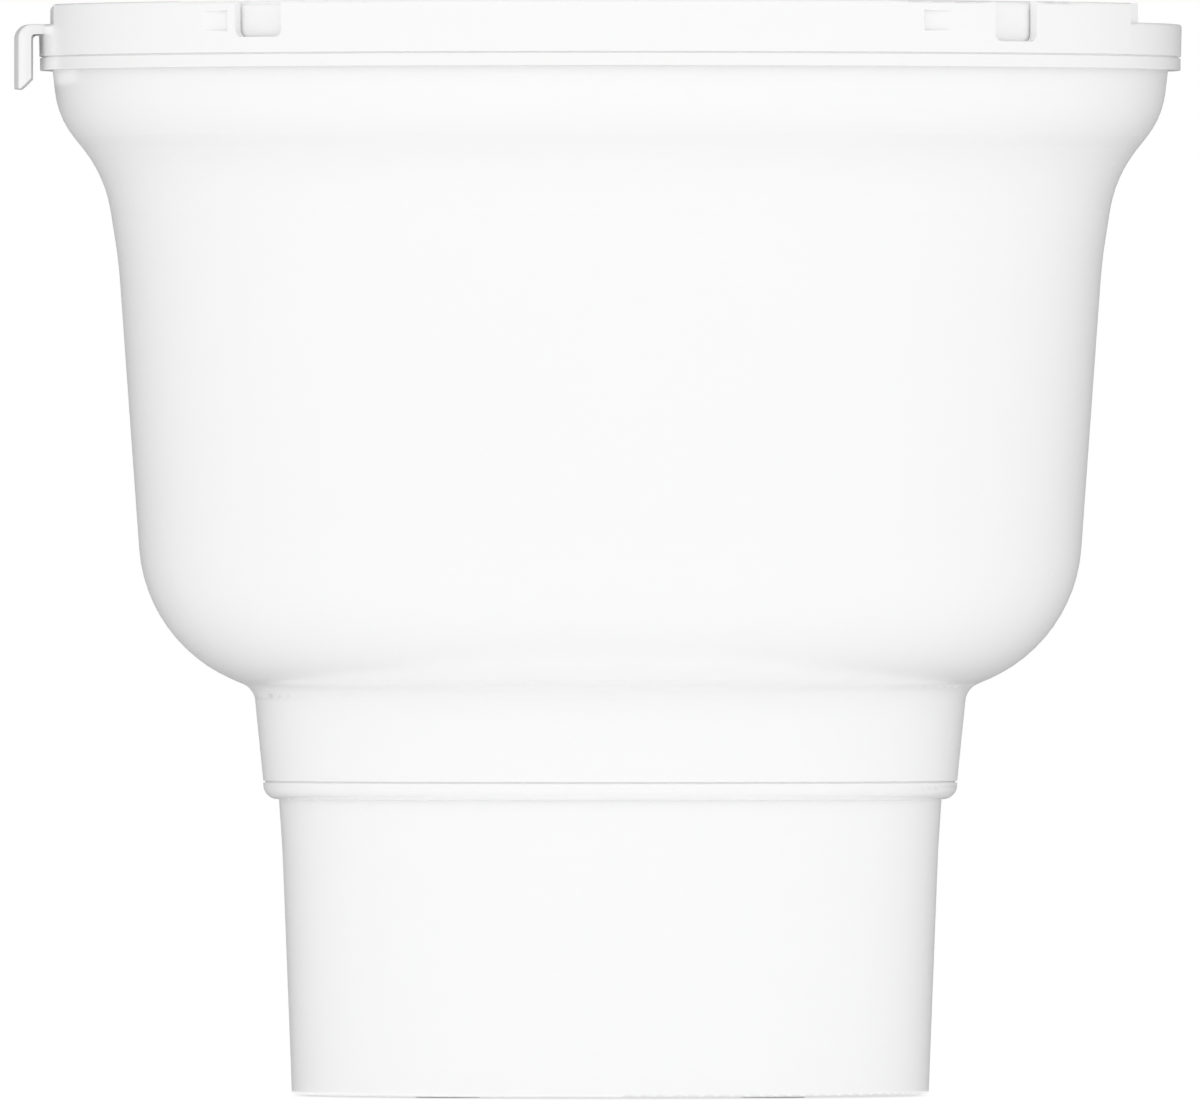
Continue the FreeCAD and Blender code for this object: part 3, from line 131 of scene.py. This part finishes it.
class Finish(Nodes):
    """One material, built from object coordinates."""

    def __init__(self, name):
        self.material = bpy.data.materials.new(name)
        self.material.use_nodes = True
        super().__init__(self.material.node_tree)
        self.place = self.add("ShaderNodeTexCoord", output="Object")

    def noise(self, size, detail=2.0, stretch=(1, 1, 1)):
        """Noise from 0 to 1 with grains of about this size in metres."""
        place = self.add("ShaderNodeMapping", None, {"Vector": self.place, "Scale": stretch})
        return self.add("ShaderNodeTexNoise", None, {"Vector": place, "Scale": 1 / size, "Detail": detail})

    def rings(self, pitch, distortion=0.0):
        """Rings about the upright axis with this pitch in metres."""
        turns = {"wave_type": "RINGS", "rings_direction": "Z", "wave_profile": "SIN"}
        scale = 2 * math.pi / WAVE_TURNS / pitch
        values = {"Vector": self.place, "Scale": scale, "Distortion": distortion, "Detail": 1.0}
        return self.add("ShaderNodeTexWave", turns, values, "Fac")

    def between(self, factor, first, second):
        """A colour between two."""
        blend = {"data_type": "RGBA", "clamp_factor": True}
        values = {0: factor, 6: (*first, 1), 7: (*second, 1)}
        return self.add("ShaderNodeMix", blend, values, 2)

    def bump(self, height, depth):
        """A normal that follows heights from 0 to 1, with this depth in metres."""
        return self.add("ShaderNodeBump", None, {"Height": height, "Strength": 1.0, "Distance": depth})

    def principled(self, **sockets):
        """The Principled shader, with sockets named by words joined with underscores."""
        values = {name.replace("_", " "): value for name, value in sockets.items()}
        return self.add("ShaderNodeBsdfPrincipled", None, values)

    def surface(self, **sockets):
        """The finished material with a Principled surface."""
        self.finish_with("ShaderNodeOutputMaterial", self.principled(**sockets))
        return self.material


print("shader helpers ready")

# %% [markdown]
# ## Light
# White on white only reads when the outline turns grey while the faces stay white. The object stands in a
# light tent that is lit through its sides: it is bright near the horizon and dim overhead, so that upright
# faces are almost evenly lit and level ones a shade darker. The floor adds a little light from below, so
# that faces that turn down stay white. The camera and metals see plain white in the tent.
# Round the object stands a funnel of black card, as photographers use for dark edges. A smooth face mirrors
# most at a glancing angle, so the faces stay white and every edge that turns away mirrors the card and
# darkens. One wide lamp from the front keeps a hint of direction.

# %% Light tent
TENT_SIDE = 1.34
TENT_TOP = 0.59
LAMP_STRENGTH = 0.15
LAMP_SPREAD = math.radians(60)
LAMP_TILT = math.radians(60)

world = bpy.data.worlds.new("tent")
scene.world = world
world.use_nodes = True
tent = Nodes(world.node_tree)
way = tent.add("ShaderNodeTexCoord", output="Generated")
rise = tent.add("ShaderNodeSeparateXYZ", None, {0: way}, "Z")
above = tent.add("ShaderNodeMath", {"operation": "MAXIMUM"}, {0: rise, 1: 0.0})
light = TENT_SIDE - (TENT_SIDE - TENT_TOP) * above
strength = light + tent.seen() * (1 - light)
paper = tent.add("ShaderNodeBackground", None, {"Color": (1, 1, 1, 1), "Strength": strength})
tent.finish_with("ShaderNodeOutputWorld", paper)

lamp_data = bpy.data.lights.new("front_light", "SUN")
lamp_data.angle = LAMP_SPREAD
lamp_data.energy = LAMP_STRENGTH
lamp = bpy.data.objects.new("front_light", lamp_data)
lamp.rotation_euler = (LAMP_TILT, 0, 0)
scene.collection.objects.link(lamp)
print("tent lights with", TENT_SIDE, "from the sides and", TENT_TOP, "from above")

# %% [markdown]
# ## White mouldings
# The shell is injection-moulded plastic: an even white with a fine spark-eroded grain, too shallow to see
# but enough to soften reflections, and a very slight drift of tone where the melt flowed. The gloss is set
# so that the faces stay evenly bright and fall to grey only near the outline.

# %% Moulded plastic
PLASTIC_IOR = 1.55
MELT_DRIFT = 60 * MM
GRAIN_GLOSS = 0.06
GRAIN_DEPTH = 0.002 * MM


def moulded(name, colour, shade, roughness, grain):
    """Moulded plastic of a colour that drifts towards a shade, with a grain of this size in metres."""
    finish = Finish(name)
    drift = finish.noise(MELT_DRIFT, 3.0)
    fine = finish.noise(grain, 3.0)
    return finish.surface(
        Base_Color=finish.between(drift, colour, shade),
        Roughness=roughness + GRAIN_GLOSS * (fine - 0.5),
        Normal=finish.bump(fine, GRAIN_DEPTH),
        IOR=PLASTIC_IOR,
    )


body_white = moulded("body_white", (0.955, 0.955, 0.955), (0.945, 0.946, 0.947), 0.26, 0.5 * MM)
lid_white = moulded("lid_white", (0.955, 0.955, 0.955), (0.945, 0.946, 0.947), 0.26, 0.45 * MM)
pot_white = moulded("pot_white", (0.95, 0.95, 0.948), (0.94, 0.94, 0.937), 0.24, 0.4 * MM)
base_white = moulded("base_white", (0.88, 0.88, 0.88), (0.86, 0.86, 0.862), 0.65, 0.8 * MM)
inlet_black = moulded("inlet_black", (0.035, 0.035, 0.038), (0.045, 0.045, 0.047), 0.55, 0.4 * MM)
print("five moulded plastics")

# %% [markdown]
# ## Rubber, silicone and felt
# The feet are pale grey rubber with a dull powdery skin. The seals are milky silicone, smoother and a
# little glossy. The pad under the heater is glass-fibre felt, whose tangled fibres show as a stretched noise.

# %% Soft materials
BLOOM_SIZE = 9 * MM
FIBRE_SIZE = 0.6 * MM
FIBRE_DEPTH = 0.25 * MM


def rubbery(name, colour, shade, roughness, grain):
    """Rubber or silicone with a powdery bloom, and a grain of this size in metres."""
    finish = Finish(name)
    bloom = finish.noise(BLOOM_SIZE, 4.0)
    fine = finish.noise(grain, 2.0)
    return finish.surface(
        Base_Color=finish.between(bloom, colour, shade),
        Roughness=roughness + 0.2 * (bloom - 0.5),
        Normal=finish.bump(fine, 0.02 * MM),
        Specular_IOR_Level=0.3,
    )


def felted(name, colour, shade):
    """Felt whose fibres lie along both level directions."""
    finish = Finish(name)
    along = finish.noise(FIBRE_SIZE, 5.0, (1, 6, 2))
    across = finish.noise(FIBRE_SIZE, 5.0, (6, 1, 2))
    fibres = along * 0.5 + across * 0.5
    return finish.surface(
        Base_Color=finish.between(fibres, colour, shade),
        Roughness=0.9,
        Normal=finish.bump(fibres, FIBRE_DEPTH),
        Specular_IOR_Level=0.1,
    )


foot_rubber = rubbery("foot_rubber", (0.62, 0.62, 0.62), (0.55, 0.55, 0.55), 0.8, 0.4 * MM)
seal_silicone = rubbery("seal_silicone", (0.80, 0.80, 0.79), (0.74, 0.74, 0.73), 0.45, 0.8 * MM)
felt = felted("felt", (0.62, 0.60, 0.54), (0.86, 0.84, 0.79))
print("rubber, silicone and felt")

# %% [markdown]
# ## Metals
# The heating plate is turned aluminium, so its marks are fine rings about the axis. Sheet steel and screws
# are zinc plated, with a soft patchy sheen. The inlet's pins and the fuse's case are drawn brass.

# %% Turned and plated metals
STAIN_SIZE = 12 * MM
SPANGLE_SIZE = 2.5 * MM
SCRATCH_LENGTH = 1.5 * MM


def turned_metal(name, colour, shade, pitch):
    """Metal with the rings of a lathe tool at this pitch in metres."""
    finish = Finish(name)
    marks = finish.rings(pitch, 0.6)
    patches = finish.noise(STAIN_SIZE, 3.0)
    return finish.surface(
        Base_Color=finish.between(marks * 0.6 + patches * 0.4, colour, shade),
        Metallic=1.0,
        Roughness=0.3 + 0.12 * marks + 0.1 * patches,
        Normal=finish.bump(marks, 0.01 * MM),
    )


def plated_metal(name, colour, shade, roughness):
    """Plated metal with patches of sheen and fine scratches."""
    finish = Finish(name)
    patches = finish.noise(SPANGLE_SIZE, 4.0)
    scratches = finish.noise(SCRATCH_LENGTH, 2.0, (1, 14, 1))
    return finish.surface(
        Base_Color=finish.between(patches, colour, shade),
        Metallic=1.0,
        Roughness=roughness + 0.15 * (patches - 0.5) + 0.1 * (scratches - 0.5),
        Normal=finish.bump(scratches, 0.006 * MM),
    )


plate_aluminium = turned_metal("plate_aluminium", (0.80, 0.81, 0.82), (0.66, 0.67, 0.68), 0.7 * MM)
clamp_steel = plated_metal("clamp_steel", (0.62, 0.62, 0.63), (0.50, 0.50, 0.51), 0.4)
screw_steel = plated_metal("screw_steel", (0.70, 0.70, 0.70), (0.58, 0.58, 0.57), 0.33)
pin_steel = plated_metal("pin_steel", (0.70, 0.70, 0.71), (0.62, 0.62, 0.63), 0.25)
pin_brass = plated_metal("pin_brass", (0.80, 0.62, 0.30), (0.70, 0.52, 0.24), 0.28)
fuse_case = plated_metal("fuse_case", (0.74, 0.58, 0.30), (0.62, 0.48, 0.24), 0.36)
print("six metals")

# %% [markdown]
# ## Electrical materials
# Phenolic is a dark moulding with pale flecks of filler. The heater is a bonded mat whose winding shows as
# copper-coloured rings. Wire insulation is soft vinyl with a slight sheen.

# %% Phenolic, heater mat and wire
FLECK_SIZE = 0.7 * MM
WINDING_PITCH = 4.5 * MM
WEAVE_SIZE = 0.5 * MM
RIPPLE_SIZE = 1.2 * MM


def phenolic(name, colour, fleck):
    """Dark moulding with flecks where the filler noise is high."""
    finish = Finish(name)
    filler = finish.noise(FLECK_SIZE, 4.0)
    specks = finish.add("ShaderNodeMapRange", None, {"Value": filler, "From Min": 0.62, "From Max": 0.72})
    return finish.surface(
        Base_Color=finish.between(specks, colour, fleck),
        Roughness=0.5 + 0.15 * (filler - 0.5),
        Normal=finish.bump(filler, 0.01 * MM),
        Specular_IOR_Level=0.4,
    )


def heater_mat(name, colour, winding):
    """Bonded mat over a winding that stands out as rings."""
    finish = Finish(name)
    track = finish.rings(WINDING_PITCH)
    wires = finish.add("ShaderNodeMapRange", None, {"Value": track, "From Min": 0.55, "From Max": 0.75})
    weave = finish.noise(WEAVE_SIZE, 2.0)
    return finish.surface(
        Base_Color=finish.between(wires, colour, winding),
        Roughness=0.55 + 0.2 * (weave - 0.5),
        Normal=finish.bump(wires * 0.8 + weave * 0.2, 0.15 * MM),
    )


def insulated(name, colour, shade):
    """Vinyl wire covering with a soft ripple."""
    finish = Finish(name)
    ripple = finish.noise(RIPPLE_SIZE, 2.0)
    return finish.surface(
        Base_Color=finish.between(ripple, colour, shade),
        Roughness=0.4 + 0.15 * (ripple - 0.5),
        Normal=finish.bump(ripple, 0.02 * MM),
    )


deck_phenolic = phenolic("deck_phenolic", (0.07, 0.045, 0.033), (0.16, 0.11, 0.08))
thermostat_body = phenolic("thermostat_body", (0.035, 0.033, 0.033), (0.09, 0.08, 0.075))
element_mat = heater_mat("element_mat", (0.40, 0.13, 0.05), (0.62, 0.33, 0.16))
lead_brown = insulated("lead_brown", (0.17, 0.07, 0.03), (0.14, 0.055, 0.022))
lead_blue = insulated("lead_blue", (0.02, 0.06, 0.26), (0.016, 0.048, 0.21))
print("five electrical materials")

# %% [markdown]
# ## Dressing the nodes
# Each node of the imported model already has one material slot. The record says which finish each node takes,
# so the finishes above are handed out by that name.

# %% Hand out the finishes
finishes = {
    "body_white": body_white, "lid_white": lid_white, "pot_white": pot_white, "base_white": base_white,
    "inlet_black": inlet_black, "foot_rubber": foot_rubber, "seal_silicone": seal_silicone, "felt": felt,
    "plate_aluminium": plate_aluminium, "clamp_steel": clamp_steel, "screw_steel": screw_steel,
    "pin_steel": pin_steel, "pin_brass": pin_brass, "fuse_case": fuse_case, "deck_phenolic": deck_phenolic,
    "thermostat_body": thermostat_body, "element_mat": element_mat, "lead_brown": lead_brown,
    "lead_blue": lead_blue,
}
for row in frame["record"]["subparts"]:
    mesh = nodes[row["node"]].data
    mesh.materials.clear()
    mesh.materials.append(finishes[row["material_slot"]])
print(len(finishes), "finishes on", len(nodes), "nodes")

# %% [markdown]
# ## Stage
# The floor is a square of white card on a light table: it is lit by the tent and faintly from below. A glow
# is mixed in for the camera and for reflections, so that its far edge melts into the white background.

# %% White floor
FLOOR_SIZE = 6.0
CARD_FIBRE = 0.8 * MM
TABLE_LIGHT = 0.18
GLOW_SHARE = 0.5
GLOW = 1.03


def card(name, colour, shade, table_light, glow_share):
    """Matte card with short fibres, light from below, and a share of glow where it is a background."""
    finish = Finish(name)
    fibre = finish.noise(CARD_FIBRE, 3.0)
    lit = finish.principled(
        Base_Color=finish.between(fibre, colour, shade),
        Roughness=0.9,
        Specular_IOR_Level=0.0,
        Emission_Color=(1, 1, 1, 1),
        Emission_Strength=table_light,
    )
    glow = finish.add("ShaderNodeEmission", None, {"Color": (1, 1, 1, 1), "Strength": GLOW})
    shader = finish.add("ShaderNodeMixShader", None, {0: finish.seen() * glow_share, 1: lit, 2: glow})
    finish.finish_with("ShaderNodeOutputMaterial", shader)
    return finish.material


def staged(name, shape, material):
    """An object of the studio, from a bmesh."""
    mesh = bpy.data.meshes.new(name)
    shape.to_mesh(mesh)
    shape.free()
    mesh.materials.append(material)
    piece = bpy.data.objects.new(name, mesh)
    scene.collection.objects.link(piece)
    return piece


sheet = bmesh.new()
bmesh.ops.create_grid(sheet, x_segments=1, y_segments=1, size=FLOOR_SIZE / 2)
floor_white = card("floor_white", (0.95, 0.95, 0.95), (0.93, 0.93, 0.93), TABLE_LIGHT, GLOW_SHARE)
staged("floor", sheet, floor_white)
print("floor", FLOOR_SIZE, "m wide")

# %% [markdown]
# ## Black card
# The card that darkens the edges is a funnel that stands on the floor round the object. Only reflections see
# it: the camera and the tent's light pass through, so it needs no opening in any view.

# %% Funnel of black card
FUNNEL_FOOT = 62 * MM
FUNNEL_MOUTH = 400 * MM
FUNNEL_HEIGHT = 600 * MM
FUNNEL_SIDES = 96

cone = bmesh.new()
walls = {"segments": FUNNEL_SIDES, "radius1": FUNNEL_FOOT, "radius2": FUNNEL_MOUTH, "depth": FUNNEL_HEIGHT}
bmesh.ops.create_cone(cone, **walls)
bmesh.ops.translate(cone, verts=cone.verts, vec=(0, 0, FUNNEL_HEIGHT / 2))
funnel_black = card("funnel_black", (0.03, 0.03, 0.03), (0.04, 0.04, 0.04), 0.0, 0.0)
funnel = staged("funnel", cone, funnel_black)
for ray in ("camera", "diffuse", "transmission", "shadow"):
    setattr(funnel, f"visible_{ray}", False)
print("funnel", FUNNEL_HEIGHT / MM, "mm high")
